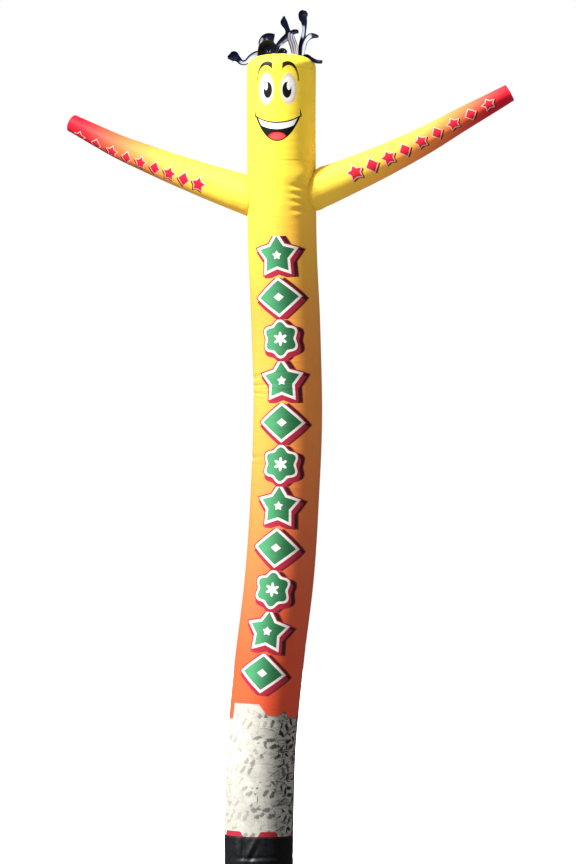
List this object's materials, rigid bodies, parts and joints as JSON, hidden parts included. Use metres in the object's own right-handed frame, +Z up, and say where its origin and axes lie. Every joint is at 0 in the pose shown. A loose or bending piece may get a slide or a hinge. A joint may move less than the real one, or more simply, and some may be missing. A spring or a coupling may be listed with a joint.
{
  "type": "inflatable air dancer",
  "caption": "Tall inflated cloth tube figure with a smiling face, two tapered sleeve arms, a tuft of strips on its domed crown and a black foot cuff.",
  "frame": {"origin": "centre of the cuff's open mouth, on the ground", "axes": "+Z up the tube, the face looks along -Y, the right sleeve in the picture points along +X"},
  "size_m": [3.0778, 0.7217, 5.8434],
  "materials": {
    "printed_ripstop": "satin",
    "sleeve_ripstop": "satin",
    "black_cuff_cloth": "gloss",
    "shiny_strip": "gloss"
  },
  "bodies": {
    "root": {"body_tube": "printed_ripstop", "head_tube": "printed_ripstop", "crown": "printed_ripstop", "arm_left": "sleeve_ripstop", "arm_right": "sleeve_ripstop", "cuff": "black_cuff_cloth", "hair_1": "shiny_strip", "hair_2": "shiny_strip", "hair_3": "shiny_strip", "hair_4": "shiny_strip", "hair_5": "shiny_strip", "hair_6": "shiny_strip", "hair_7": "shiny_strip", "hair_8": "shiny_strip", "hair_9": "shiny_strip"}
  },
  "joints": []
}
